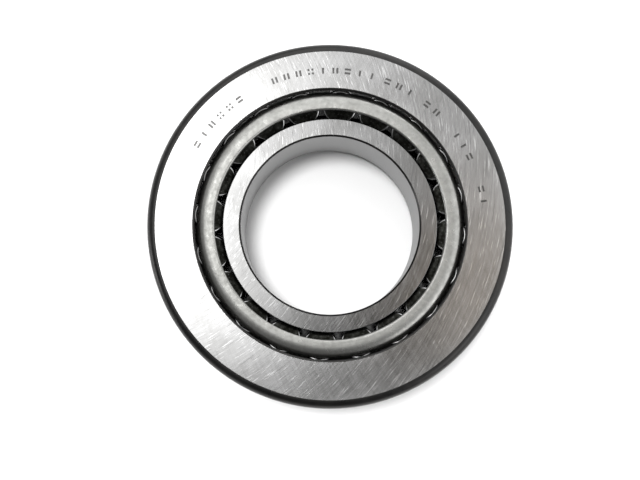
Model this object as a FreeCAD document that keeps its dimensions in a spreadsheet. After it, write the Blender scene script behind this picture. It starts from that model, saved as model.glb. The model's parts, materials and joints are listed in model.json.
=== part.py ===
"""Single-row tapered roller bearing: cup, cone, pressed cage and twenty tapered rollers.

The bearing lies on the back face of its cone. The Z axis is the bearing's axis and the origin is the
centre of that face, so the back face of the cup looks up. The raceways and the rollers are cones that
share one apex on the axis, above the bearing, and a roller is measured from that apex along its own
axis. Every outline is drawn in a plane through the bearing's axis, with radius across and height up.
"""

import FreeCAD, Part
import math
import os
import Sketcher

# Driving dimensions in millimetres and degrees: alias, value, meaning.
DRIVING_SIZES = [
    ("bore_diameter", 45.242, "bore of the cone"),
    ("outside_diameter", 92.075, "outside of the cup"),
    ("assembled_width", 29.37, "cone back face to cup back face"),
    ("cone_width", 26.4, "cone back face to cone front face"),
    ("cup_width", 22.2, "cup front face to cup back face"),
    ("cup_angle", 20.1, "half angle of the cup raceway"),
    ("cup_small_diameter", 67.2, "roller contact cone, extended to the cup's back face"),
    ("cup_back_corner", 2.2, "outer corner of the cup at its back face"),
    ("cup_front_corner", 0.8, "outer corner of the cup at its front face"),
    ("cup_mouth_corner", 0.6, "inner corners of the cup"),
    ("roller_count", 20, "rollers in the row"),
    ("first_roller_angle", 13.3, "angle of the first roller, from the X axis"),
    ("roller_half_angle", 2.5, "half angle of a roller's cone"),
    ("roller_length", 20.0, "roller, end to end without its dome"),
    ("small_end_distance", 100.0, "apex to the roller's small end, along the roller"),
    ("roller_corner", 0.5, "corners of a roller"),
    ("dome_radius", 115.0, "dome on the roller's large end"),
    ("dimple_radius", 2.4, "round dimple in the roller's large end"),
    ("dimple_depth", 0.45, "depth of that dimple, which has a straight wall"),
    ("raceway_clearance", 0.05, "roller to either raceway"),
    ("rib_clearance", 0.06, "roller's large end to the large rib"),
    ("small_rib_clearance", 0.25, "roller's small end to the small rib"),
    ("large_rib_height", 2.9, "large rib above the raceway"),
    ("rib_face_angle", 2.0, "lean of the large rib's guide face, to suit the dome"),
    ("small_rib_height", 1.25, "small rib above the raceway"),
    ("large_relief_radius", 0.7, "undercut beside the large rib"),
    ("small_relief_radius", 0.55, "undercut beside the small rib"),
    ("cone_back_corner", 3.3, "bore corner of the cone at its back face"),
    ("cone_front_chamfer", 0.45, "bore chamfer of the cone at its front face"),
    ("cone_rib_corner", 0.6, "outer corner of the large rib at the back face"),
    ("cone_edge_break", 0.25, "edge breaks on both ribs"),
    ("cage_thickness", 1.3, "sheet of the cage"),
    ("cage_angle", 18.9, "half angle of the cage wall"),
    ("cage_top", 29.1, "height of the cage's small end"),
    ("cage_bottom", 4.2, "height of the cage's large end"),
    ("cage_top_diameter", 66.2, "outside of the cage wall, extended to its small end"),
    ("cage_hole_diameter", 57.9, "hole in the cage's small end"),
    ("cage_bend_radius", 3.4, "outside of the bend from the wall to the flange"),
    ("cage_lip_radius", 0.5, "upper edge of the hole in the flange"),
    ("cage_edge_radius", 0.25, "other edges of the cage"),
    ("pocket_clearance", 0.2, "roller to the sides of its pocket"),
    ("pocket_end_clearance", 0.35, "roller to the ends of its pocket"),
]

# The smallest distance that counts as a difference when a point is looked up.
SAME_POINT = 1e-3


def size(alias):
    """The expression that reads one driving dimension."""
    return f"Sizes.{alias}"


# Expressions that several pieces share. The contact cones of the cup and the rollers meet at the apex.
ROLLER_TILT = f"({size('cup_angle')} - {size('roller_half_angle')})"
ROLLER_TAPER = f"tan({size('roller_half_angle')})"
CUP_REACH = f"{size('cup_small_diameter')} / 2 / tan({size('cup_angle')})"
APEX_HEIGHT = f"({size('assembled_width')} + {CUP_REACH})"
SMALL_END = size("small_end_distance")
LARGE_END = f"({size('small_end_distance')} + {size('roller_length')})"


def beside_roller_axis(distance, offset):
    """Radius and height of a point in the plane of a roller's axis.

    distance is counted from the apex along that axis, and offset outwards from it.
    """
    radius = f"({distance}) * sin({ROLLER_TILT}) + ({offset}) * cos({ROLLER_TILT})"
    height = f"{APEX_HEIGHT} - ({distance}) * cos({ROLLER_TILT}) + ({offset}) * sin({ROLLER_TILT})"
    return radius, height


def fill_sheet(document):
    sheet = document.addObject("Spreadsheet::Sheet", "Sizes")
    for row, (alias, value, meaning) in enumerate(DRIVING_SIZES, start=1):
        sheet.set(f"A{row}", meaning)
        sheet.set(f"B{row}", str(value))
        sheet.setAlias(f"B{row}", alias)
    probe = document.addObject("App::VarSet", "Probe")
    probe.addProperty("App::PropertyFloat", "Reading")
    document.recompute()


def value_of(document, expression):
    """What an expression comes to, read back from a property that is bound to it."""
    probe = document.Probe
    probe.setExpression("Reading", expression)
    probe.recompute()
    return probe.Reading


def point_at(document, corner):
    """A corner, which starts with its radius and height as expressions, as a point of a sketch."""
    return FreeCAD.Vector(value_of(document, corner[0]), value_of(document, corner[1]), 0)


def origin_feature(body, role):
    return next(feature for feature in body.Origin.OriginFeatures if feature.Role == role)


def new_body(document, label):
    body = document.addObject("PartDesign::Body", label)
    body.Label = label
    return body


def new_sketch(body, name):
    """An empty sketch on the body's XZ plane, so that its axes are radius and height."""
    sketch = body.newObject("Sketcher::SketchObject", name)
    sketch.AttachmentSupport = [(origin_feature(body, "XZ_Plane"), "")]
    sketch.MapMode = "FlatFace"
    return sketch


def bind(sketch, constraint, expression):
    """Adds a dimension whose value follows an expression."""
    index = sketch.addConstraint(constraint)
    sketch.setExpression(f"Constraints[{index}]", expression)


def pin_point(sketch, geometry, end, corner):
    """Holds one end of a sketch line at a corner. A corner on an axis lies on it instead."""
    point = point_at(sketch.Document, corner)
    vertical_axis, horizontal_axis = -2, -1
    for kind, value, expression, axis in (
        ("DistanceX", point.x, corner[0], vertical_axis),
        ("DistanceY", point.y, corner[1], horizontal_axis),
    ):
        if abs(value) < SAME_POINT:
            sketch.addConstraint(Sketcher.Constraint("PointOnObject", geometry, end, axis))
        else:
            bind(sketch, Sketcher.Constraint(kind, -1, 1, geometry, end, value), expression)


def outward_arc(start, end, radius):
    """The arc from start to end that bulges to the right of the way there."""
    chord = end - start
    bulge = radius - math.sqrt(radius**2 - chord.Length**2 / 4)
    outwards = FreeCAD.Vector(chord.y, -chord.x, 0).normalize()
    return Part.Arc(start, (start + end) / 2 + outwards * bulge, end)


def draw_profile(body, name, corners):
    """A closed outline through its corners, anticlockwise.

    A corner is a radius and a height, as expressions. A third expression makes the way to the next
    corner an arc of that radius, which bulges outwards.
    """
    sketch = new_sketch(body, name)
    points = [point_at(body.Document, corner) for corner in corners]
    for index, corner in enumerate(corners):
        start = points[index]
        end = points[(index + 1) % len(points)]
        if len(corner) == 2:
            sketch.addGeometry(Part.LineSegment(start, end), False)
        else:
            radius = value_of(body.Document, corner[2])
            sketch.addGeometry(outward_arc(start, end, radius), False)
            bind(sketch, Sketcher.Constraint("Radius", index, radius), corner[2])
    for index, corner in enumerate(corners):
        following = (index + 1) % len(corners)
        sketch.addConstraint(Sketcher.Constraint("Coincident", index, 2, following, 1))
        pin_point(sketch, index, 1, corner)
    return sketch


def revolve(body, name, sketch):
    feature = body.newObject("PartDesign::Revolution", name)
    feature.Profile = sketch
    feature.ReferenceAxis = (sketch, ["V_Axis"])
    feature.Angle = 360
    body.Document.recompute()
    return feature


def groove(body, name, sketch, axis):
    """Cuts a full turn of a sketch out of the body, about one of the sketch's own axes."""
    before = body.Shape.Volume
    feature = body.newObject("PartDesign::Groove", name)
    feature.Profile = sketch
    feature.ReferenceAxis = (sketch, [axis])
    feature.Angle = 360
    body.Document.recompute()
    if feature.Shape.Volume >= before:
        raise RuntimeError(f"{name} cuts nothing")
    return feature


def ring_edges(feature, corners):
    """Names of the edges around the axis that pass through the given corners."""
    wanted = [point_at(feature.Document, corner) for corner in corners]
    names = []
    for number, edge in enumerate(feature.Shape.Edges, start=1):
        if not isinstance(edge.Curve, Part.Circle):
            continue
        centre = edge.Curve.Center
        here = FreeCAD.Vector(edge.Curve.Radius, centre.z, 0)
        on_axis = math.hypot(centre.x, centre.y) < SAME_POINT
        if on_axis and any(here.distanceToPoint(point) < SAME_POINT for point in wanted):
            names.append(f"Edge{number}")
    if len(names) != len(wanted):
        raise RuntimeError(f"{feature.Label} has {len(names)} of the {len(wanted)} edges to dress")
    return names


def round_corners(body, name, base, corners, radius):
    feature = body.newObject("PartDesign::Fillet", name)
    feature.Base = (base, ring_edges(base, corners))
    feature.setExpression("Radius", radius)
    body.Document.recompute()
    return feature


def chamfer_corners(body, name, base, corners, length):
    feature = body.newObject("PartDesign::Chamfer", name)
    feature.Base = (base, ring_edges(base, corners))
    feature.setExpression("Size", length)
    body.Document.recompute()
    return feature


def cup_raceway(height):
    """A corner on the cup's raceway: the contact cone, moved out by the clearance."""
    lift = f"{size('raceway_clearance')} / cos({size('cup_angle')})"
    return f"({APEX_HEIGHT} - ({height})) * tan({size('cup_angle')}) + {lift}", height


def build_cup(document):
    """Outer ring. Its raceway narrows upwards, so the wall is thickest at the back face, on top."""
    body = new_body(document, "cup")
    top = size("assembled_width")
    bottom = f"{size('assembled_width')} - {size('cup_width')}"
    outside = f"{size('outside_diameter')} / 2"
    front_mouth = cup_raceway(bottom)
    back_mouth = cup_raceway(top)
    front_rim = (outside, bottom)
    back_rim = (outside, top)
    profile = draw_profile(body, "CupProfile", [front_mouth, front_rim, back_rim, back_mouth])
    ring = revolve(body, "CupRing", profile)
    back = round_corners(body, "CupBackCorner", ring, [back_rim], size("cup_back_corner"))
    front = round_corners(body, "CupFrontCorner", back, [front_rim], size("cup_front_corner"))
    mouths = [front_mouth, back_mouth]
    round_corners(body, "CupMouthCorners", front, mouths, size("cup_mouth_corner"))
    return body


def cone_raceway(distance, height_above="0"):
    """A corner at a height above the cone's raceway, square to the roller's axis."""
    offset = f"{height_above} - ({distance}) * {ROLLER_TAPER} - {size('raceway_clearance')}"
    return beside_roller_axis(distance, offset)


def cut_relief(body, name, distance, radius):
    """A round undercut about the bearing's axis, centred on the corner of a roller."""
    centre = beside_roller_axis(distance, f"-{distance} * {ROLLER_TAPER}")
    sketch = new_sketch(body, f"{name}Profile")
    size_now = value_of(body.Document, radius)
    upwards = FreeCAD.Vector(0, 0, 1)
    sketch.addGeometry(Part.Circle(point_at(body.Document, centre), upwards, size_now), False)
    pin_point(sketch, 0, 3, centre)
    bind(sketch, Sketcher.Constraint("Radius", 0, size_now), radius)
    return groove(body, name, sketch, "V_Axis")


def build_cone(document):
    """Inner ring: bore, raceway, the large rib that guides the rollers, the small one that keeps them."""
    body = new_body(document, "cone")
    bore = f"{size('bore_diameter')} / 2"
    guide = f"({LARGE_END} + {size('rib_clearance')})"
    guide_lean = f"{size('large_rib_height')} * tan({size('rib_face_angle')})"
    keeper = f"({SMALL_END} - {size('small_rib_clearance')})"

    raceway_foot = cone_raceway(guide)
    raceway_head = cone_raceway(keeper)
    # The guide face leans away from the roller as it rises, as the dome does.
    large_rib = cone_raceway(f"{guide} + {guide_lean}", size("large_rib_height"))
    small_rib = cone_raceway(keeper, size("small_rib_height"))
    back_bore = (bore, "0")
    back_rim = (large_rib[0], "0")
    front_rim = (small_rib[0], size("cone_width"))
    front_bore = (bore, size("cone_width"))

    outline = [
        back_bore,
        back_rim,
        large_rib,
        raceway_foot,
        raceway_head,
        small_rib,
        front_rim,
        front_bore,
    ]
    ring = revolve(body, "ConeRing", draw_profile(body, "ConeProfile", outline))
    back = round_corners(body, "ConeBackCorner", ring, [back_bore], size("cone_back_corner"))
    front = chamfer_corners(body, "ConeFrontChamfer", back, [front_bore], size("cone_front_chamfer"))
    rim = round_corners(body, "ConeRibCorner", front, [back_rim], size("cone_rib_corner"))
    breaks = [large_rib, small_rib, front_rim]
    round_corners(body, "ConeEdgeBreaks", rim, breaks, size("cone_edge_break"))
    cut_relief(body, "LargeRelief", LARGE_END, size("large_relief_radius"))
    cut_relief(body, "SmallRelief", SMALL_END, size("small_relief_radius"))
    return body


def build_cage(document):
    """Pressed steel cage: a conical wall with a pocket for each roller, and a flange over their tops."""
    body = new_body(document, "cage")
    thickness = size("cage_thickness")
    top = size("cage_top")
    bottom = size("cage_bottom")
    under_flange = f"{top} - {thickness}"
    hole = f"{size('cage_hole_diameter')} / 2"

    def wall_outside(height):
        slope = f"tan({size('cage_angle')})"
        return f"{size('cage_top_diameter')} / 2 + ({top} - ({height})) * {slope}", height

    def wall_inside(height):
        return f"{wall_outside(height)[0]} - {thickness} / cos({size('cage_angle')})", height

    hole_top = (hole, top)
    hole_under = (hole, under_flange)
    bend_outside = wall_outside(top)
    bend_inside = wall_inside(under_flange)
    rim_outside = wall_outside(bottom)
    rim_inside = wall_inside(bottom)

    outline = [hole_top, hole_under, bend_inside, rim_inside, rim_outside, bend_outside]
    shell = revolve(body, "CageShell", draw_profile(body, "CageProfile", outline))
    outer_bend = round_corners(body, "CageBend", shell, [bend_outside], size("cage_bend_radius"))
    inner_radius = f"{size('cage_bend_radius')} - {thickness}"
    inner_bend = round_corners(body, "CageInnerBend", outer_bend, [bend_inside], inner_radius)
    lip = round_corners(body, "CageLip", inner_bend, [hole_top], size("cage_lip_radius"))
    edges = [hole_under, rim_inside, rim_outside]
    round_corners(body, "CageEdges", lip, edges, size("cage_edge_radius"))
    cut_pockets(body)
    body.setExpression("Placement.Rotation.Yaw", size("first_roller_angle"))
    return body


def cut_pockets(body):
    """Turns one roller-shaped pocket about the axis of a roller, then repeats it around the cage."""
    document = body.Document
    near = f"{SMALL_END} - {size('pocket_end_clearance')}"
    far = f"{LARGE_END} + {size('pocket_end_clearance')}"

    def pocket_side(distance):
        return beside_roller_axis(distance, f"({distance}) * {ROLLER_TAPER} + {size('pocket_clearance')}")

    near_axis = beside_roller_axis(near, "0")
    far_axis = beside_roller_axis(far, "0")
    corners = [near_axis, far_axis, pocket_side(far), pocket_side(near)]
    sketch = draw_profile(body, "PocketProfile", corners)
    roller_axis = Part.LineSegment(point_at(document, near_axis), point_at(document, far_axis))
    line = sketch.addGeometry(roller_axis, True)
    sketch.addConstraint(Sketcher.Constraint("Coincident", line, 1, 0, 1))
    sketch.addConstraint(Sketcher.Constraint("Coincident", line, 2, 1, 1))

    whole = body.Shape.Volume
    pocket = groove(body, "Pocket", sketch, "Axis0")
    one_pocket = whole - pocket.Shape.Volume
    pattern = body.newObject("PartDesign::PolarPattern", "Pockets")
    pattern.Originals = [pocket]
    pattern.Axis = (origin_feature(body, "Z_Axis"), [""])
    pattern.Angle = 360
    pattern.setExpression("Occurrences", size("roller_count"))
    body.Tip = pattern
    document.recompute()
    pockets_cut = (whole - pattern.Shape.Volume) / one_pocket
    if abs(pockets_cut - pattern.Occurrences) > 0.01:
        raise RuntimeError(f"the cage has {pockets_cut:.2f} pockets")


def build_roller(document, number):
    """One tapered roller, turned with its large end at its own origin and then set on the raceway."""
    body = new_body(document, f"roller_{number:02d}")
    large_radius = f"{LARGE_END} * {ROLLER_TAPER}"
    small_radius = f"{SMALL_END} * {ROLLER_TAPER}"
    length = size("roller_length")
    dome = size("dome_radius")
    dimple = size("dimple_radius")
    depth = size("dimple_depth")
    dome_height = f"sqrt({dome} ^ 2 - ({large_radius}) ^ 2) - sqrt({dome} ^ 2 - {dimple} ^ 2)"
    large_edge = (large_radius, "0")
    small_edge = (small_radius, length)
    outline = [
        ("0", depth),
        (dimple, depth),
        (dimple, dome_height, dome),
        large_edge,
        small_edge,
        ("0", length),
    ]
    turned = revolve(body, f"Turned{number:02d}", draw_profile(body, f"Outline{number:02d}", outline))
    round_corners(body, f"Corners{number:02d}", turned, [small_edge, large_edge], size("roller_corner"))

    turn = f"({size('first_roller_angle')} + {number - 1} * 360 / {size('roller_count')})"
    radius, height = beside_roller_axis(LARGE_END, "0")
    place = f"create(<<vector>>; ({radius}) * cos({turn}); ({radius}) * sin({turn}); {height})"
    lean = f"create(<<rotation>>; {turn}; -{ROLLER_TILT}; 0)"
    body.setExpression("Placement", f"create(<<placement>>; {place}; {lean})")
    return body


def check_document(document, bodies):
    for feature in document.Objects:
        broken = {"Invalid", "Error"} & set(feature.State)
        if broken:
            raise RuntimeError(f"{feature.Label} is {sorted(broken)}")
    for body in bodies:
        shape = body.Shape
        if shape.isNull() or not shape.isValid() or len(shape.Solids) != 1:
            raise RuntimeError(f"{body.Label} isn't one valid solid")


def main():
    document = FreeCAD.newDocument("TaperedRollerBearing")
    fill_sheet(document)
    bodies = [build_cup(document), build_cone(document), build_cage(document)]
    roller_count = round(value_of(document, size("roller_count")))
    for number in range(1, roller_count + 1):
        bodies.append(build_roller(document, number))
    document.recompute()
    check_document(document, bodies)
    os.makedirs("parts", exist_ok=True)
    for body in bodies:
        body.Shape.exportStep(os.path.join("parts", f"{body.Label}.step"))
        print(f"{body.Label}: {body.Shape.Volume / 1000:.3f} cm3")


main()
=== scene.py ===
"""The looks of a tapered roller bearing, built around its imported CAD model.

Every length is in metres. The Z axis is the bearing's axis and the bearing lies on the floor at
height zero, with the back face of its cup on top. An outline is a list of corners in the plane of
radius and height, and a lathe turns it around that axis.
"""

import json
import math
import random

import bmesh
import bpy
from mathutils import Matrix, Vector

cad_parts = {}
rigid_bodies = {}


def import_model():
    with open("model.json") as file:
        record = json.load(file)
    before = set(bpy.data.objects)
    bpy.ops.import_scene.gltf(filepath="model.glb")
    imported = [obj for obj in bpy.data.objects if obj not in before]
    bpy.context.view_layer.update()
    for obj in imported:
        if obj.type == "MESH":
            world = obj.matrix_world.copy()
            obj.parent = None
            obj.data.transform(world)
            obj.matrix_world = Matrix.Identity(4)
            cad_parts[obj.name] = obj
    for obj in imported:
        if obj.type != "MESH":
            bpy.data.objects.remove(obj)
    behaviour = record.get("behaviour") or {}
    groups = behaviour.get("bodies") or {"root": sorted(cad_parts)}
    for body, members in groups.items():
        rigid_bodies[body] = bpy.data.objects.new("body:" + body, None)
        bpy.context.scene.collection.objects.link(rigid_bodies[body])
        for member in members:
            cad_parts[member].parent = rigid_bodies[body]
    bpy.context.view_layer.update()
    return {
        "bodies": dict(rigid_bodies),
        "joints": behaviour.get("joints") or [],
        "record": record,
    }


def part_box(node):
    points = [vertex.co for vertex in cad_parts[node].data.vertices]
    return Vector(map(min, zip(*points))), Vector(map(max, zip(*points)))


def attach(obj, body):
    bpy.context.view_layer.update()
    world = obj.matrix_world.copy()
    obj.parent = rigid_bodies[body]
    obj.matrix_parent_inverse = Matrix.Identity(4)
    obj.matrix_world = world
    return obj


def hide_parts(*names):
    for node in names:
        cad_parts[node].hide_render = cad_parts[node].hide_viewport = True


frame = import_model()

MM = 0.001
FULL_TURN = 2 * math.pi
SAME = 0.0001 * MM
WELD = 10 * SAME
FLAT = 0.01 * MM
SHARP_EDGE = math.radians(32)
mounts = {mount["name"]: mount for mount in frame["record"]["mounts"]}
joints = {joint["name"]: joint for joint in frame["joints"]}

# ---------------------------------------------------------------- sizes read from the frame

BORE = mounts["shaft_bore"]["dims"]["r_mm"] * MM
OUTSIDE = mounts["housing_seat"]["dims"]["r_mm"] * MM
CUP_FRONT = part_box("cup")[0].z
CUP_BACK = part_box("cup")[1].z
CONE_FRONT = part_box("cone")[1].z
CAGE_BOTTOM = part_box("cage")[0].z
CAGE_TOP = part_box("cage")[1].z

first_joint = joints["roller_01_spin"]
first_middle = Vector(first_joint["pos_m"])
TILT = math.acos(first_joint["axis"][2])
MIDDLE_RADIUS = math.hypot(first_middle.x, first_middle.y)
APEX = first_middle.z + MIDDLE_RADIUS / math.tan(TILT)
ROLLER_NAMES = sorted(name for name in frame["bodies"] if name.startswith("roller"))
FIRST_TURN = math.atan2(first_middle.y, first_middle.x)
PITCH = FULL_TURN / len(ROLLER_NAMES)

# ---------------------------------------------------------------- sizes that the frame doesn't give

ROLLER_TAPER = math.tan(math.radians(2.5))
ROLLER_LENGTH = 20 * MM
SMALL_END = MIDDLE_RADIUS / math.sin(TILT) - ROLLER_LENGTH / 2
LARGE_END = SMALL_END + ROLLER_LENGTH
ROLLER_CORNER = 0.5 * MM
DOME_RADIUS = 115 * MM
DIMPLE_RADIUS = 2.4 * MM
DIMPLE_DEPTH = 0.45 * MM
CLEARANCE = 0.05 * MM

CUP_BACK_CORNER = 2.2 * MM
CUP_FRONT_CORNER = 0.8 * MM
CUP_MOUTH_CORNER = 0.6 * MM
CUP_ANGLE = TILT + math.atan(ROLLER_TAPER)

RIB_CLEARANCE = 0.06 * MM
KEEPER_CLEARANCE = 0.25 * MM
LARGE_RIB_HEIGHT = 2.9 * MM
LARGE_RIB_LEAN = 0.1 * MM
SMALL_RIB_HEIGHT = 1.25 * MM
LARGE_RELIEF = 0.7 * MM
SMALL_RELIEF = 0.55 * MM
CONE_BACK_CORNER = 3.3 * MM
CONE_FRONT_CHAMFER = 0.45 * MM
CONE_RIB_CORNER = 0.6 * MM
EDGE_BREAK = 0.25 * MM

CAGE_THICKNESS = 1.3 * MM
CAGE_ANGLE = math.radians(18.9)
CAGE_HOLE = 28.95 * MM
CAGE_TOP_RADIUS = 33.1 * MM
CAGE_BEND = 3.4 * MM
CAGE_LIP = 0.5 * MM
CAGE_EDGE = 0.25 * MM
POCKET_CLEARANCE = 0.2 * MM
POCKET_END_CLEARANCE = 0.35 * MM
POCKET_CORNER = 0.45 * MM

# ---------------------------------------------------------------- outlines

ARC_STEP = 0.2 * MM
FEWEST_ARC_STEPS = 4
RUN_STEP = 2.5 * MM


def beside_roller(distance, offset):
    """The (radius, height) of a point that far from the apex and that far outside a roller's axis."""
    radius = distance * math.sin(TILT) + offset * math.cos(TILT)
    height = APEX - distance * math.cos(TILT) + offset * math.sin(TILT)
    return Vector((radius, height))


def arc(centre, radius, start, end, steps):
    """Points on a circle from one angle to another, both included."""
    points = []
    for step in range(steps + 1):
        turn = start + (end - start) * step / steps
        points.append(centre + radius * Vector((math.cos(turn), math.sin(turn))))
    return points


def rounded(before, corner, after, radius, steps):
    """The arc that rounds a corner between two straight runs."""
    to_before = (before - corner).normalized()
    to_after = (after - corner).normalized()
    half = to_before.angle(to_after) / 2
    centre = corner + (to_before + to_after).normalized() * radius / math.sin(half)
    start = corner + to_before * radius / math.tan(half) - centre
    end = corner + to_after * radius / math.tan(half) - centre
    start_turn = math.atan2(start.y, start.x)
    sweep = math.remainder(math.atan2(end.y, end.x) - start_turn, FULL_TURN)
    return arc(centre, radius, start_turn, start_turn + sweep, steps)


def plain(point, finish):
    """A corner of an outline that isn't rounded."""
    return (point, finish, 0, None)


def outline(corners):
    """Points along a closed outline, and the finish of the run that leaves each point.

    A corner is (point, finish of the run that follows, radius, finish of the rounding). Long runs are
    divided, so that the mesh has no long thin faces.
    """
    stretches = []
    count = len(corners)
    for index, (corner, finish, radius, corner_finish) in enumerate(corners):
        before = corners[index - 1][0]
        after = corners[(index + 1) % count][0]
        if radius:
            steps = max(FEWEST_ARC_STEPS, round(radius / ARC_STEP))
            stretches.append((rounded(before, corner, after, radius, steps), corner_finish, finish))
        else:
            stretches.append(([corner], None, finish))
    points = []
    for index, (stretch, corner_finish, finish) in enumerate(stretches):
        points += [(point, corner_finish) for point in stretch[:-1]]
        last = stretch[-1]
        following = stretches[(index + 1) % count][0][0]
        pieces = max(1, round((following - last).length / RUN_STEP))
        points += [(last.lerp(following, piece / pieces), finish) for piece in range(pieces)]
    return points


# ---------------------------------------------------------------- mesh building


def evenly(count):
    """Angles in equal steps, once around."""
    return [FULL_TURN * step / count for step in range(count)]


def turned_vertex(mesh, point, turn):
    """A vertex where an outline's point comes to stand after a turn about the Z axis."""
    return mesh.verts.new((point.x * math.cos(turn), point.x * math.sin(turn), point.y))


def turned_mesh(points, turns, closed=True):
    """A ring or a solid: the outline's points at each of the turns, joined into faces.

    An outline that isn't closed starts and ends on the axis, where its faces meet in one point.
    """
    mesh = bmesh.new()
    rings = []
    for point, _ in points:
        if abs(point.x) < SAME:
            rings.append([mesh.verts.new((0, 0, point.y))] * len(turns))
        else:
            rings.append([turned_vertex(mesh, point, turn) for turn in turns])
    for index, (_, finish) in enumerate(points if closed else points[:-1]):
        ring = rings[index]
        above = rings[(index + 1) % len(rings)]
        for step in range(len(turns)):
            beside = (step + 1) % len(turns)
            corners = dict.fromkeys((ring[step], ring[beside], above[beside], above[step]))
            mesh.faces.new(corners).material_index = finish
    return mesh


def finish_object(name, mesh, materials):
    """Puts a bmesh into the scene, shaded smooth between its sharp edges."""
    bmesh.ops.recalc_face_normals(mesh, faces=mesh.faces)
    for face in mesh.faces:
        face.smooth = True
    for edge in mesh.edges:
        edge.smooth = not (edge.is_manifold and edge.calc_face_angle(0) > SHARP_EDGE)
    data = bpy.data.meshes.new(name)
    mesh.to_mesh(data)
    mesh.free()
    for material in materials:
        data.materials.append(material)
    piece = bpy.data.objects.new(name, data)
    bpy.context.scene.collection.objects.link(piece)
    weighted = piece.modifiers.new("even_shading", "WEIGHTED_NORMAL")
    weighted.keep_sharp = True
    weighted.weight = 100
    return piece


# ---------------------------------------------------------------- materials


class Graph:
    """A short way to write a material's nodes: each method adds a node and returns its output."""

    def __init__(self, tree):
        self.tree = tree

    def node(self, kind, settings=(), **inputs):
        """A node with its settings. An input is given by its name, or by i and its number."""
        node = self.tree.nodes.new("ShaderNode" + kind)
        for key, value in settings:
            setattr(node, key, value)
        for key, value in inputs.items():
            numbered = key[0] == "i" and key[1:].isdigit()
            socket = node.inputs[int(key[1:]) if numbered else key]
            if isinstance(value, bpy.types.NodeSocket):
                self.tree.links.new(value, socket)
            else:
                socket.default_value = value
        return node

    def math(self, operation, first, second):
        """Two numbers added, multiplied and so on."""
        return self.node("Math", (("operation", operation),), i0=first, i1=second).outputs[0]

    def mixed(self, first, share, second):
        """A share of one number and the rest of another."""
        kept = self.math("MULTIPLY", first, share)
        rest = self.math("MULTIPLY", second, 1 - share)
        return self.math("ADD", kept, rest)

    def length(self, x, y):
        """The length of a vector that lies flat."""
        vector = self.join(x, y, 0.0)
        return self.node("VectorMath", (("operation", "LENGTH"),), i0=vector).outputs["Value"]

    def facing(self, first, second):
        """The cosine of the angle between two directions."""
        settings = (("operation", "DOT_PRODUCT"),)
        return self.node("VectorMath", settings, i0=first, i1=second).outputs["Value"]

    def place(self):
        """Where a point of the surface is on its own object."""
        return self.node("TexCoord").outputs["Object"]

    def split(self, vector):
        """A vector's three coordinates."""
        return self.node("SeparateXYZ", i0=vector).outputs

    def join(self, x, y, z):
        """A vector from three coordinates."""
        return self.node("CombineXYZ", i0=x, i1=y, i2=z).outputs[0]

    def noise(self, vector, scale=1.0, detail=2.0, roughness=0.5):
        """Smooth noise, 0 to 1."""
        node = self.node("TexNoise", Vector=vector, Scale=scale, Detail=detail, Roughness=roughness)
        return node.outputs["Fac"]

    def ramp(self, value, low, high, to_low=0.0, to_high=1.0, smooth=False):
        """A value carried from one range to another and held at its ends."""
        settings = (("interpolation_type", "SMOOTHSTEP" if smooth else "LINEAR"), ("clamp", True))
        node = self.node("MapRange", settings, i0=value, i1=low, i2=high, i3=to_low, i4=to_high)
        return node.outputs[0]

    def blend(self, factor, first, second):
        """A colour between two others."""
        node = self.node("Mix", (("data_type", "RGBA"),), i0=factor, i6=first, i7=second)
        return node.outputs[2]


def grey(value, tint=(1.0, 1.0, 1.0)):
    """A grey of that brightness, faintly tinted, as red, green, blue and alpha."""
    return (value * tint[0], value * tint[1], value * tint[2], 1.0)


def new_material(name):
    """A material with one Principled shader, as (material, graph, shader)."""
    material = bpy.data.materials.new(name)
    material.use_nodes = True
    graph = Graph(material.node_tree)
    shader = material.node_tree.nodes["Principled BSDF"]
    shader.inputs["Metallic"].default_value = 1.0
    return material, graph, shader


def connect(graph, shader, colour, roughness):
    """Joins a colour and a roughness to the shader."""
    graph.tree.links.new(colour, shader.inputs["Base Color"])
    graph.tree.links.new(roughness, shader.inputs["Roughness"])


def raise_grain(graph, shader, height, strength, depth):
    """Gives the shader a bump from a height of 0 to 1, with its full depth in metres."""
    node = graph.node("Bump", Strength=strength, Distance=depth, Height=height)
    graph.tree.links.new(node.outputs["Normal"], shader.inputs["Normal"])


WHEEL = (-56 * MM, 17 * MM)
CROSS_WHEEL = (82 * MM, 4 * MM)


def grinding_arcs(graph, centre, pitch, length, seed):
    """Streaks along circles about a far centre, as a wheel leaves them: 0 to 1."""
    x, y, _ = graph.split(graph.place())
    across = graph.math("SUBTRACT", x, centre[0])
    along = graph.math("SUBTRACT", y, centre[1])
    reach = graph.length(across, along)
    turn = graph.math("ARCTAN2", along, across)
    rows = graph.math("DIVIDE", reach, pitch)
    steps = graph.math("MULTIPLY", turn, math.hypot(*centre) / length)
    return graph.noise(graph.join(rows, steps, seed), detail=3.0, roughness=0.6)


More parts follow.
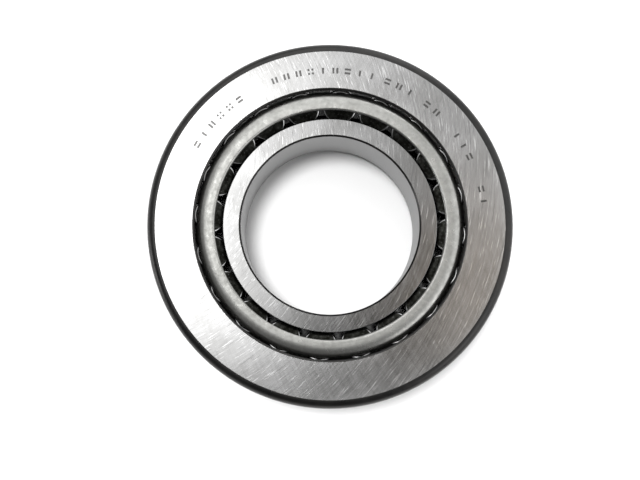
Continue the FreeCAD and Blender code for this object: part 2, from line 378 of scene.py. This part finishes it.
def ground_face(name, tone, seed):
    """A flat face off a grinding wheel: long crossing arcs, with bright and dark scratches."""
    material, graph, shader = new_material(name)
    main = grinding_arcs(graph, WHEEL, pitch=0.5 * MM, length=10 * MM, seed=seed)
    cross = grinding_arcs(graph, CROSS_WHEEL, pitch=0.6 * MM, length=11 * MM, seed=seed + 7.3)
    bright = grinding_arcs(graph, WHEEL, pitch=0.3 * MM, length=4 * MM, seed=seed + 3.1)
    bright = graph.ramp(bright, 0.58, 0.70)
    dark = grinding_arcs(graph, WHEEL, pitch=0.36 * MM, length=6 * MM, seed=seed + 5.7)
    dark = graph.ramp(dark, 0.58, 0.70)
    lay = graph.mixed(main, 0.6, cross)
    clouds = graph.ramp(graph.noise(graph.place(), scale=110.0, detail=3.0), 0.35, 0.65)
    lay_shade = graph.ramp(lay, 0.35, 0.65, 0.0, 0.5)
    shade = graph.math("ADD", lay_shade, graph.math("MULTIPLY", clouds, 0.5))
    colour = graph.blend(shade, grey(tone * 0.74, (1.0, 0.995, 0.98)), grey(tone * 1.14))
    colour = graph.blend(graph.math("MULTIPLY", dark, 0.5), colour, grey(tone * 0.45))
    colour = graph.blend(graph.math("MULTIPLY", bright, 0.8), colour, grey(tone * 2.0))
    roughness = graph.ramp(lay, 0.35, 0.65, 0.15, 0.19)
    height = graph.math("SUBTRACT", lay, graph.math("MULTIPLY", dark, 0.4))
    connect(graph, shader, colour, roughness)
    raise_grain(graph, shader, height, strength=0.2, depth=0.01 * MM)
    return material


def turned_surface(name, tone, roughness, pitch, seed, contrast=0.15):
    """A surface turned or ground about the bearing's axis, with fine lines around it."""
    material, graph, shader = new_material(name)
    x, y, z = graph.split(graph.place())
    reach = graph.length(x, y)
    run = graph.math("ADD", graph.math("DIVIDE", reach, pitch), graph.math("DIVIDE", z, pitch))
    turn = graph.math("MULTIPLY", graph.math("ARCTAN2", y, x), 1.2)
    lines = graph.noise(graph.join(run, turn, seed), detail=3.0, roughness=0.6)
    clouds = graph.noise(graph.place(), scale=120.0, detail=4.0)
    shade = graph.ramp(graph.mixed(lines, 0.6, clouds), 0.3, 0.7)
    colour = graph.blend(shade, grey(tone * (1 - contrast)), grey(tone * (1 + contrast)))
    rough = graph.ramp(shade, 0.0, 1.0, roughness * 0.9, roughness * 1.15)
    connect(graph, shader, colour, rough)
    raise_grain(graph, shader, lines, strength=0.25, depth=0.01 * MM)
    return material


def dark_scale(name, tone, roughness):
    """Hardening scale left on an edge that isn't ground: dark, slightly glossy and uneven."""
    material, graph, shader = new_material(name)
    clouds = graph.noise(graph.place(), scale=260.0, detail=5.0, roughness=0.65)
    grain = graph.noise(graph.place(), scale=2600.0, detail=2.0)
    low = grey(tone * 0.7, (0.95, 1.0, 1.05))
    high = grey(tone * 1.4, (1.05, 1.0, 0.95))
    colour = graph.blend(clouds, low, high)
    rough = graph.ramp(clouds, 0.3, 0.7, roughness * 0.85, roughness * 1.2)
    connect(graph, shader, colour, rough)
    raise_grain(graph, shader, grain, strength=0.25, depth=0.02 * MM)
    return material


def oiled_end_and_painted_shade(name, tone, roughness):
    """Oiled roller end, faintly green, near-black partly as painted shade; its pale blotches and flecks
    are partly painted glints.
    """
    material, graph, shader = new_material(name)
    blotches_and_glints = graph.noise(graph.place(), scale=520.0, detail=5.0, roughness=0.7)
    flecks_and_glints = graph.ramp(graph.noise(graph.place(), scale=1900.0, detail=2.0), 0.62, 0.70)
    shade = graph.ramp(blotches_and_glints, 0.42, 0.66)
    # The dark base is partly painted shade of the gap, and the pale blotches and bright flecks are
    # partly painted glints.
    colour = graph.blend(shade, grey(tone * 0.5, (1.0, 1.0, 0.8)), grey(tone * 2.4, (0.98, 1.0, 0.9)))
    colour = graph.blend(graph.math("MULTIPLY", flecks_and_glints, 0.7), colour, grey(tone * 8.0))
    rough = graph.ramp(blotches_and_glints, 0.4, 0.6, roughness, roughness * 0.7)
    connect(graph, shader, colour, rough)
    raise_grain(graph, shader, blotches_and_glints, strength=0.6, depth=0.06 * MM)
    return material


def cage_sheet(name):
    """Pressed and tumbled sheet: satin, slightly warm, with a sandy grain and small knocks."""
    material, graph, shader = new_material(name)
    patches = graph.noise(graph.place(), scale=240.0, detail=3.0)
    mottle = graph.noise(graph.place(), scale=900.0, detail=3.0, roughness=0.6)
    grain = graph.noise(graph.place(), scale=2600.0, detail=2.0)
    shade = graph.mixed(mottle, 0.6, patches)
    low = grey(0.26, (1.0, 1.0, 0.95))
    high = grey(0.39, (1.0, 1.0, 0.96))
    colour = graph.blend(graph.ramp(shade, 0.35, 0.65), low, high)
    rough = graph.ramp(shade, 0.35, 0.65, 0.34, 0.26)
    connect(graph, shader, colour, rough)
    raise_grain(graph, shader, graph.mixed(mottle, 0.7, grain), strength=0.5, depth=0.06 * MM)
    return material


CUP_FACE = ground_face("cup_ground_face", tone=0.39, seed=1.0)
CONE_FACE = ground_face("cone_ground_face", tone=0.27, seed=5.0)
SEAT = turned_surface("ground_seat", 0.3, 0.26, pitch=0.26 * MM, seed=2.0, contrast=0.25)
RACEWAY = turned_surface("honed_raceway", 0.3, 0.2, pitch=0.10 * MM, seed=3.0)
BORE_WALL = turned_surface("ground_bore", 0.25, 0.42, pitch=0.14 * MM, seed=4.0)
ROLLER_BODY = turned_surface("roller_superfinish", 0.36, 0.14, pitch=0.10 * MM, seed=6.0)
# Roller ends: near-black partly as painted shade, with pale blotches and flecks that are partly painted
# glints.
ROLLER_END_AND_SHADE = oiled_end_and_painted_shade("roller_end_oil_and_painted_shade", tone=0.012, roughness=0.34)
SCALE = dark_scale("black_scale", tone=0.036, roughness=0.3)
RELIEF = dark_scale("turned_relief", tone=0.1, roughness=0.45)
ETCH = dark_scale("etched_mark", tone=0.09, roughness=0.2)
CAGE = cage_sheet("pressed_cage")

# ---------------------------------------------------------------- cup

CUP_TURNS = 240
MARK_SEED = 4
MARK_RADIUS = 38.9 * MM
MARK_CELL = 0.5 * MM
MARK_DEPTH = 0.05 * MM
MARK_PITCH = math.radians(4.6)
# Where each group's first tick stands, in degrees, and how many ticks it has, running clockwise.
MARK_GROUPS = ((149, 6), (111, 9), (68, 3), (51, 2), (35, 3), (13, 2))
# A tick has three by three cells. Each shape lists the (column, row) of those that are sunk.
MARK_SHAPES = (
    ((0, 0), (0, 1), (0, 2), (2, 0), (2, 1), (2, 2)),
    ((0, 0), (1, 0), (2, 0), (0, 2), (1, 2), (2, 2)),
    ((1, 0), (1, 1), (1, 2)),
    ((0, 0), (2, 0), (0, 2), (2, 2)),
)


def mark_turns():
    """The middle of each etched tick, counted around the back face in groups."""
    turns = []
    for first, count in MARK_GROUPS:
        turns += [math.radians(first) - MARK_PITCH * step for step in range(count)]
    return turns


def cup_back_turns():
    """Evenly spread turns, with the edges of the marks in place of those that fall among them."""
    cell = MARK_CELL / MARK_RADIUS
    margin = cell * 0.9
    edges = [turn + cell * side for turn in mark_turns() for side in (-1.5, -0.5, 0.5, 1.5)]
    spread = [turn for turn in evenly(CUP_TURNS) if all(abs(turn - edge) > margin for edge in edges)]
    return sorted(spread + edges)


def engrave_marks(mesh, finish):
    """Sinks the cells of every tick into the back face: bars, dashes and dots, and no letters."""
    shapes = random.Random(MARK_SEED)
    cell = MARK_CELL / MARK_RADIUS
    back_face = {}
    for face in mesh.faces:
        middle = face.calc_center_median()
        if abs(middle.z - CUP_BACK) < FLAT:
            around = math.atan2(middle.y, middle.x) % FULL_TURN
            back_face[face] = (math.hypot(middle.x, middle.y), around)
    for turn in mark_turns():
        shape = shapes.choice(MARK_SHAPES)
        cells = []
        for face, (radius, around) in back_face.items():
            column = round((around - turn) / cell) + 1
            row = round((radius - MARK_RADIUS) / MARK_CELL) + 1
            near = abs(around - turn) < 1.5 * cell and abs(radius - MARK_RADIUS) < 1.5 * MARK_CELL
            if near and (column, row) in shape:
                cells.append(face)
        for face in cells:
            face.material_index = finish
        bmesh.ops.inset_region(
            mesh, faces=cells, thickness=MARK_DEPTH, depth=-MARK_DEPTH, use_even_offset=True
        )


def cup_raceway(height):
    """A point of the cup's raceway, one clearance off the rollers."""
    radius = (APEX - height) * math.tan(CUP_ANGLE) + CLEARANCE / math.cos(CUP_ANGLE)
    return Vector((radius, height))


def make_cup():
    """The outer ring, with the edges of the marks' rows as circles on its back face."""
    ground, seat, scale, etched, raceway = 0, 1, 2, 3, 4
    rows = [MARK_RADIUS + side * MARK_CELL for side in (1.5, 0.5, -0.5, -1.5)]
    corners = [
        (cup_raceway(CUP_FRONT), ground, CUP_MOUTH_CORNER, scale),
        (Vector((OUTSIDE, CUP_FRONT)), seat, CUP_FRONT_CORNER, scale),
        (Vector((OUTSIDE, CUP_BACK)), ground, CUP_BACK_CORNER, scale),
        *[plain(Vector((row, CUP_BACK)), ground) for row in rows],
        (cup_raceway(CUP_BACK), raceway, CUP_MOUTH_CORNER, scale),
    ]
    mesh = turned_mesh(outline(corners), cup_back_turns())
    engrave_marks(mesh, etched)
    cup = finish_object("cup_ring", mesh, (CUP_FACE, SEAT, SCALE, ETCH, RACEWAY))
    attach(cup, "cup")
    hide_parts("cup")


# ---------------------------------------------------------------- cone

CONE_TURNS = 256
UNDERCUT_STEPS = 18


def cone_raceway(distance, above=0.0):
    """A point of the cone's raceway that far from the apex, or at a height above the raceway."""
    return beside_roller(distance, above - distance * ROLLER_TAPER - CLEARANCE)


def undercut(distance, radius, before, corner, after, finishes):
    """Corners of a round undercut, centred on a roller's corner, between two straight runs.

    The finishes are that of the undercut and that of the run which follows it.
    """
    centre = beside_roller(distance, -distance * ROLLER_TAPER)
    turns = []
    for neighbour in (before, after):
        along = (neighbour - corner).normalized()
        nearest = corner + along * (centre - corner).dot(along)
        crossing = nearest + along * math.sqrt(radius**2 - (nearest - centre).length_squared)
        turns.append(math.atan2(crossing.y - centre.y, crossing.x - centre.x))
    sweep = (turns[0] - turns[1]) % FULL_TURN
    points = arc(centre, radius, turns[0], turns[0] - sweep, UNDERCUT_STEPS)
    return [*[plain(point, finishes[0]) for point in points[:-1]], plain(points[-1], finishes[1])]


def make_cone():
    """The inner ring, from its bore past both ribs and back."""
    ground, bore_wall, scale, raceway, hollow = 0, 1, 2, 3, 4
    guide = LARGE_END + RIB_CLEARANCE
    keeper = SMALL_END - KEEPER_CLEARANCE
    large_rib = cone_raceway(guide + LARGE_RIB_LEAN, LARGE_RIB_HEIGHT)
    small_rib = cone_raceway(keeper, SMALL_RIB_HEIGHT)
    foot = cone_raceway(guide)
    head = cone_raceway(keeper)
    finishes = (hollow, raceway)
    corners = [
        (Vector((BORE, 0.0)), ground, CONE_BACK_CORNER, scale),
        (Vector((large_rib.x, 0.0)), bore_wall, CONE_RIB_CORNER, scale),
        (large_rib, raceway, EDGE_BREAK, raceway),
        *undercut(LARGE_END, LARGE_RELIEF, large_rib, foot, head, finishes),
        *undercut(SMALL_END, SMALL_RELIEF, foot, head, small_rib, finishes),
        (small_rib, bore_wall, EDGE_BREAK, raceway),
        (Vector((small_rib.x, CONE_FRONT)), ground, EDGE_BREAK, ground),
        plain(Vector((BORE + CONE_FRONT_CHAMFER, CONE_FRONT)), scale),
        plain(Vector((BORE, CONE_FRONT - CONE_FRONT_CHAMFER)), bore_wall),
    ]
    mesh = turned_mesh(outline(corners), evenly(CONE_TURNS))
    cone = finish_object("cone_ring", mesh, (CONE_FACE, BORE_WALL, SCALE, RACEWAY, RELIEF))
    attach(cone, "cone")
    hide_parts("cone")


# ---------------------------------------------------------------- rollers

ROLLER_TURNS = 72
DOME_STEPS = 6
SPIN_SEED = 11


def dome(radius, rim):
    """A point of a roller's domed large end, whose rim is at height zero."""
    height = math.sqrt(DOME_RADIUS**2 - rim**2) - math.sqrt(DOME_RADIUS**2 - radius**2)
    return Vector((radius, height))


def roller_outline():
    """One roller from pole to pole, standing on its large end at height zero."""
    body, end, dimple = 0, 1, 2
    large = LARGE_END * ROLLER_TAPER
    small = SMALL_END * ROLLER_TAPER
    spread = [DIMPLE_RADIUS + (large - DIMPLE_RADIUS) * step / DOME_STEPS for step in range(DOME_STEPS)]
    corners = [
        plain(Vector((0, DIMPLE_DEPTH)), dimple),
        plain(Vector((DIMPLE_RADIUS, DIMPLE_DEPTH)), dimple),
        *[plain(dome(radius, large), end) for radius in spread],
        (Vector((large, 0)), body, ROLLER_CORNER, body),
        (Vector((small, ROLLER_LENGTH)), end, ROLLER_CORNER, body),
        plain(Vector((0, ROLLER_LENGTH)), end),
    ]
    points = outline(corners)
    last = max(index for index, (point, _) in enumerate(points) if point.y > ROLLER_LENGTH - SAME)
    return points[: last + 1]


def make_rollers():
    """A roller at each roller's joint, turned about its own axis by a random angle."""
    spins = random.Random(SPIN_SEED)
    points = roller_outline()
    for name in ROLLER_NAMES:
        joint = joints[f"{name}_spin"]
        axis = Vector(joint["axis"]).normalized()
        foot = Vector(joint["pos_m"]) - axis * ROLLER_LENGTH / 2
        stand = axis.to_track_quat("Z", "Y").to_matrix().to_4x4()
        spin = Matrix.Rotation(spins.uniform(0, FULL_TURN), 4, "Z")
        mesh = turned_mesh(points, evenly(ROLLER_TURNS), closed=False)
        roller = finish_object(f"{name}_body", mesh, (ROLLER_BODY, ROLLER_END_AND_SHADE, RELIEF))
        roller.matrix_world = Matrix.Translation(foot) @ stand @ spin
        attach(roller, name)
        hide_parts(name)


# ---------------------------------------------------------------- cage

SIDE_STEPS = 16
CORNER_STEPS = 3
BEND_STEPS = 6
LIP_STEPS = 8
UNDERSIDE_STEPS = 3
THIRDS = (0.33, 0.66)
WALL_LAYERS = 3
PANEL_SHARES = (0.0, 0.1, 0.28, 0.5, 0.74, 1.0)
RIM_HEIGHT = 1.2 * MM
PRESSED_EDGE = 0.12 * MM
PRESSED_EDGE_ANGLE = math.radians(50)
SEARCH_RANGE = (0.2, 2.2)
SEARCH_ROUNDS = 40
WIDTH_ROUNDS = 12
WALL_TURN = math.pi / 2 - CAGE_ANGLE
BEND_CENTRE = Vector(
    (
        CAGE_TOP_RADIUS - CAGE_BEND * (1 - math.sin(CAGE_ANGLE)) / math.cos(CAGE_ANGLE),
        CAGE_TOP - CAGE_BEND,
    )
)
WALL_LENGTH = (BEND_CENTRE.y + CAGE_BEND * math.sin(CAGE_ANGLE) - CAGE_BOTTOM) / math.cos(CAGE_ANGLE)
PANEL_TOP = 0.5
PANEL_BOTTOM = 2 - RIM_HEIGHT / WALL_LENGTH
DOWN_THE_WALL = Vector((math.sin(CAGE_ANGLE), -math.cos(CAGE_ANGLE)))


def cage_section(depth, run):
    """Radius and height at a depth below the cage's outside: the bend from 0 to 1, the wall to 2."""
    turn = min(run, 1.0) * WALL_TURN
    point = BEND_CENTRE + (CAGE_BEND - depth) * Vector((math.sin(turn), math.cos(turn)))
    return point + max(run - 1.0, 0.0) * WALL_LENGTH * DOWN_THE_WALL


def beside_axis(depth, distance, sideways):
    """Where a surface of the cage is that far from the apex and that far beside a roller's axis.

    The answer is the angle from the roller, the run along the section and the offset outwards.
    """
    low, high = SEARCH_RANGE
    for _ in range(SEARCH_ROUNDS):
        run = (low + high) / 2
        radius, height = cage_section(depth, run)
        angle = math.asin(sideways / radius)
        ahead = radius * math.cos(angle)
        if ahead * math.sin(TILT) + (APEX - height) * math.cos(TILT) < distance:
            low = run
        else:
            high = run
    return angle, run, ahead * math.cos(TILT) - (APEX - height) * math.sin(TILT)


def pocket_half_width(depth, distance):
    """Half the width of a pocket: its sides keep one clearance from the roller's cone."""
    reach = distance * ROLLER_TAPER + POCKET_CLEARANCE
    width = reach
    for _ in range(WIDTH_ROUNDS):
        offset = beside_axis(depth, distance, width)[2]
        width = math.sqrt(reach**2 - offset**2)
    return width


def along_side(step, length):
    """How far along one side of a pocket a step is, and how far its rounded corners draw it in."""
    from_end = min(step, SIDE_STEPS - step)
    if from_end < CORNER_STEPS:
        turn = math.radians(45) * (1 - from_end / CORNER_STEPS)
        along = POCKET_CORNER * (1 - math.sin(turn))
        inwards = POCKET_CORNER * (1 - math.cos(turn))
        return (along if step == from_end else length - along), inwards
    straight = (step - CORNER_STEPS) / (SIDE_STEPS - 2 * CORNER_STEPS)
    return POCKET_CORNER + straight * (length - 2 * POCKET_CORNER), 0.0


def pocket_loop(depth):
    """A pocket's edge on one surface of the cage, as angles from the roller and runs."""
    near = SMALL_END - POCKET_END_CLEARANCE
    far = LARGE_END + POCKET_END_CLEARANCE
    loop = []
    for step in range(SIDE_STEPS):
        width = pocket_half_width(depth, near)
        along, inwards = along_side(step, 2 * width)
        loop.append((near + inwards, along - width))
    for step in range(SIDE_STEPS):
        along, inwards = along_side(step, far - near)
        loop.append((near + along, pocket_half_width(depth, near + along) - inwards))
    for step in range(SIDE_STEPS):
        width = pocket_half_width(depth, far)
        along, inwards = along_side(step, 2 * width)
        loop.append((far - inwards, width - along))
    for step in range(SIDE_STEPS):
        along, inwards = along_side(step, far - near)
        loop.append((far - along, inwards - pocket_half_width(depth, far - along)))
    return [beside_axis(depth, distance, sideways)[:2] for distance, sideways in loop]


def panel_loop():
    """The edge of one roller's share of the wall, step for step with the pocket's edge."""
    corners = [
        (-PITCH / 2, PANEL_TOP),
        (PITCH / 2, PANEL_TOP),
        (PITCH / 2, PANEL_BOTTOM),
        (-PITCH / 2, PANEL_BOTTOM),
    ]
    loop = []
    for index, start in enumerate(corners):
        end = corners[(index + 1) % 4]
        for step in range(SIDE_STEPS):
            share = step / SIDE_STEPS
            loop.append(tuple(a + (b - a) * share for a, b in zip(start, end)))
    return loop


def cage_rows():
    """The rest of the section: over the flange, from panel to panel, and under the rim."""
    lip = Vector((CAGE_HOLE + CAGE_LIP, CAGE_TOP - CAGE_LIP))
    under = CAGE_TOP - CAGE_THICKNESS
    edge = Vector((CAGE_HOLE + CAGE_EDGE, under + CAGE_EDGE))
    bend = [PANEL_TOP * step / BEND_STEPS for step in range(BEND_STEPS, -1, -1)]
    flange = [cage_section(0, run) for run in bend]
    flange += [Vector((lip.x, CAGE_TOP)).lerp(flange[-1], share) for share in reversed(THIRDS)]
    flange += arc(lip, CAGE_LIP, math.pi / 2, math.pi, LIP_STEPS)
    flange += arc(edge, CAGE_EDGE, math.pi, 1.5 * math.pi, UNDERSIDE_STEPS)
    inner = [cage_section(CAGE_THICKNESS, run) for run in reversed(bend)]
    flange += [edge.lerp(inner[0], share) for share in THIRDS]
    for point in flange[-2:]:
        point.y = under
    flange += inner

    outside = cage_section(0, PANEL_BOTTOM)
    inside = cage_section(CAGE_THICKNESS, PANEL_BOTTOM)
    outer_foot = outside + DOWN_THE_WALL * (outside.y - CAGE_BOTTOM) / math.cos(CAGE_ANGLE)
    inner_foot = inside + DOWN_THE_WALL * (inside.y - CAGE_BOTTOM) / math.cos(CAGE_ANGLE)
    rim = [outside]
    rim += rounded(outside, outer_foot, inner_foot, CAGE_EDGE, FEWEST_ARC_STEPS)
    rim += rounded(outer_foot, inner_foot, inside, CAGE_EDGE, FEWEST_ARC_STEPS)
    rim.append(inside)
    return flange, rim


def bridge(mesh, lines, closed):
    """Faces from each line of vertices to the next, where a closed line joins its own ends."""
    for first, second in zip(lines, lines[1:]):
        count = len(first)
        for index in range(count if closed else count - 1):
            following = (index + 1) % count
            mesh.faces.new((first[index], first[following], second[following], second[index]))


def add_panel(mesh, middle, depth, pocket, panel, edge):
    """One surface of a roller's share of the wall, in loops from the pocket's edge outwards."""
    loops = [edge]
    for share in PANEL_SHARES[1:]:
        loop = []
        for (angle, run), (far_angle, far_run) in zip(pocket, panel):
            turn = middle + (angle + (far_angle - angle) * share)
            point = cage_section(depth, run + (far_run - run) * share)
            loop.append(turned_vertex(mesh, point, turn))
        loops.append(loop)
    bridge(mesh, loops, True)


def cage_mesh():
    """The pressed shell, built one roller's share at a time and then joined."""
    mesh = bmesh.new()
    levels = [CAGE_THICKNESS * layer / WALL_LAYERS for layer in range(WALL_LAYERS + 1)]
    pockets = [pocket_loop(depth) for depth in levels]
    panel = panel_loop()
    rows = cage_rows()
    angles = [PITCH * (step / SIDE_STEPS - 0.5) for step in range(SIDE_STEPS + 1)]
    for number in range(len(ROLLER_NAMES)):
        middle = FIRST_TURN + PITCH * number
        edges = []
        for depth, pocket in zip(levels, pockets):
            section = [(cage_section(depth, run), angle) for angle, run in pocket]
            edges.append([turned_vertex(mesh, point, middle + angle) for point, angle in section])
        bridge(mesh, edges, True)
        for surface in (0, -1):
            add_panel(mesh, middle, levels[surface], pockets[surface], panel, edges[surface])
        for row in rows:
            lines = [[turned_vertex(mesh, point, middle + angle) for angle in angles] for point in row]
            bridge(mesh, lines, False)
    bmesh.ops.remove_doubles(mesh, verts=mesh.verts, dist=WELD)
    bmesh.ops.recalc_face_normals(mesh, faces=mesh.faces)
    sharp = [edge for edge in mesh.edges if edge.calc_face_angle(0) > PRESSED_EDGE_ANGLE]
    bmesh.ops.bevel(mesh, geom=sharp, offset=PRESSED_EDGE, segments=2, profile=0.5, affect="EDGES")
    return mesh


def make_cage():
    """The pressed cage, all one material."""
    cage = finish_object("cage_shell", cage_mesh(), (CAGE,))
    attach(cage, "cage")
    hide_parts("cage")


# ---------------------------------------------------------------- stage, light and camera

FLOOR_REACH = 3.0
FLOOR_CELLS = 8
LAMP_STRENGTH = 2.8
LAMP_WIDTH = math.radians(11)
LAMP_PLACE = (143, 7)
CAMERA_DISTANCE = 300 * MM
CAMERA_LEAN = math.radians(4.9)
CAMERA_LEFT = 2.53 * MM
CAMERA_NEARER = 4.08 * MM
CAMERA_LENS = 67.5


def make_floor():
    """A pale table, wide enough to run out of the picture."""
    mesh = bmesh.new()
    bmesh.ops.create_grid(mesh, x_segments=FLOOR_CELLS, y_segments=FLOOR_CELLS, size=FLOOR_REACH)
    floor = finish_object("floor", mesh, (floor_material(),))


def floor_material():
    """Matt and nearly white, faintly clouded."""
    material, graph, shader = new_material("pale_table")
    shader.inputs["Metallic"].default_value = 0.0
    shader.inputs["Specular IOR Level"].default_value = 0.2
    cloud = graph.noise(graph.place(), scale=3.0)
    colour = graph.blend(cloud, grey(0.76), grey(0.79))
    connect(graph, shader, colour, graph.ramp(cloud, 0, 1, 0.75, 0.85))
    return material


def toward(azimuth, from_top):
    """A direction by its compass angle from +X and its angle from straight up, in degrees."""
    across = math.sin(math.radians(from_top))
    turn = math.radians(azimuth)
    return (across * math.cos(turn), across * math.sin(turn), math.cos(math.radians(from_top)))


BASE_LIGHT = grey(0.68)
# A light's name, its azimuth from +X, its angle from straight up, how far from its middle it is
# full and how far it reaches, all in degrees, and its colour.
LIGHTS = (
    ("window above", 100, 42, 12, 36, grey(1.95)),
    ("wall to the right", 0, 62, 20, 50, grey(1.6)),
    ("shade to the left", 205, 66, 15, 44, grey(0.25)),
    ("shade below", -90, 52, 18, 44, grey(0.2)),
    ("lamp to the lower right", -38, 58, 8, 23, grey(2.3)),
    ("low light to the upper right", 68, 74, 6, 24, grey(2.6)),
    ("low window to the left", 190, 86, 3, 12, grey(7.0)),
    ("wall to the left", 171, 28, 4, 14, grey(2.5)),
    ("high window to the right", 15, 16, 4, 11, grey(1.3)),
    ("high window to the left", 138, 11, 3, 10.8, grey(5.0)),
    ("shade of the camera", -25, 4, 2, 8, grey(0.72)),
    ("camera", 30, 3.4, 2.6, 6.4, grey(0.0)),
    ("hand beside the camera", 24, 8.0, 1.5, 4.8, grey(0.52, (1.25, 1.02, 0.8))),
)


def make_studio():
    """Soft light from all round, brighter and darker by turns, before a plain white backdrop."""
    world = bpy.data.worlds.new("studio")
    bpy.context.scene.world = world
    world.use_nodes = True
    graph = Graph(world.node_tree)
    direction = graph.node("TexCoord").outputs["Generated"]
    light = BASE_LIGHT
    for _, azimuth, from_top, inner, outer, colour in LIGHTS:
        facing = graph.facing(direction, toward(azimuth, from_top))
        edge = math.cos(math.radians(outer))
        full = math.cos(math.radians(inner))
        light = graph.blend(graph.ramp(facing, edge, full, smooth=True), light, colour)
    seen = graph.node("LightPath").outputs["Is Camera Ray"]
    background = world.node_tree.nodes["Background"]
    graph.tree.links.new(graph.blend(seen, light, grey(1.0)), background.inputs["Color"])


def make_lamp():
    """A soft lamp high on the left, which lays the bearing's shadow on the table."""
    data = bpy.data.lights.new("lamp", "SUN")
    data.energy = LAMP_STRENGTH
    data.angle = LAMP_WIDTH
    lamp = bpy.data.objects.new("lamp", data)
    lamp.matrix_world = Vector(toward(*LAMP_PLACE)).to_track_quat("Z", "Y").to_matrix().to_4x4()
    lamp.visible_glossy = False
    bpy.context.scene.collection.objects.link(lamp)


def make_camera():
    """The camera, almost straight above and leaning to the near side."""
    right = Vector((1, 0, 0))
    up = Vector((0, math.cos(CAMERA_LEAN), math.sin(CAMERA_LEAN)))
    back = Vector((0, -math.sin(CAMERA_LEAN), math.cos(CAMERA_LEAN)))
    place = Vector((0, 0, CUP_BACK)) + back * CAMERA_DISTANCE
    place -= right * CAMERA_LEFT + up * CAMERA_NEARER
    data = bpy.data.cameras.new("camera")
    data.sensor_width = 36
    data.lens = CAMERA_LENS
    data.clip_start = 0.01
    camera = bpy.data.objects.new("camera", data)
    bpy.context.scene.collection.objects.link(camera)
    axes = Matrix((right, up, back)).transposed().to_4x4()
    camera.matrix_world = Matrix.Translation(place) @ axes
    bpy.context.scene.camera = camera


make_cup()
make_cone()
make_rollers()
make_cage()
make_floor()
make_studio()
make_lamp()
make_camera()
bpy.context.scene.view_settings.view_transform = "Standard"
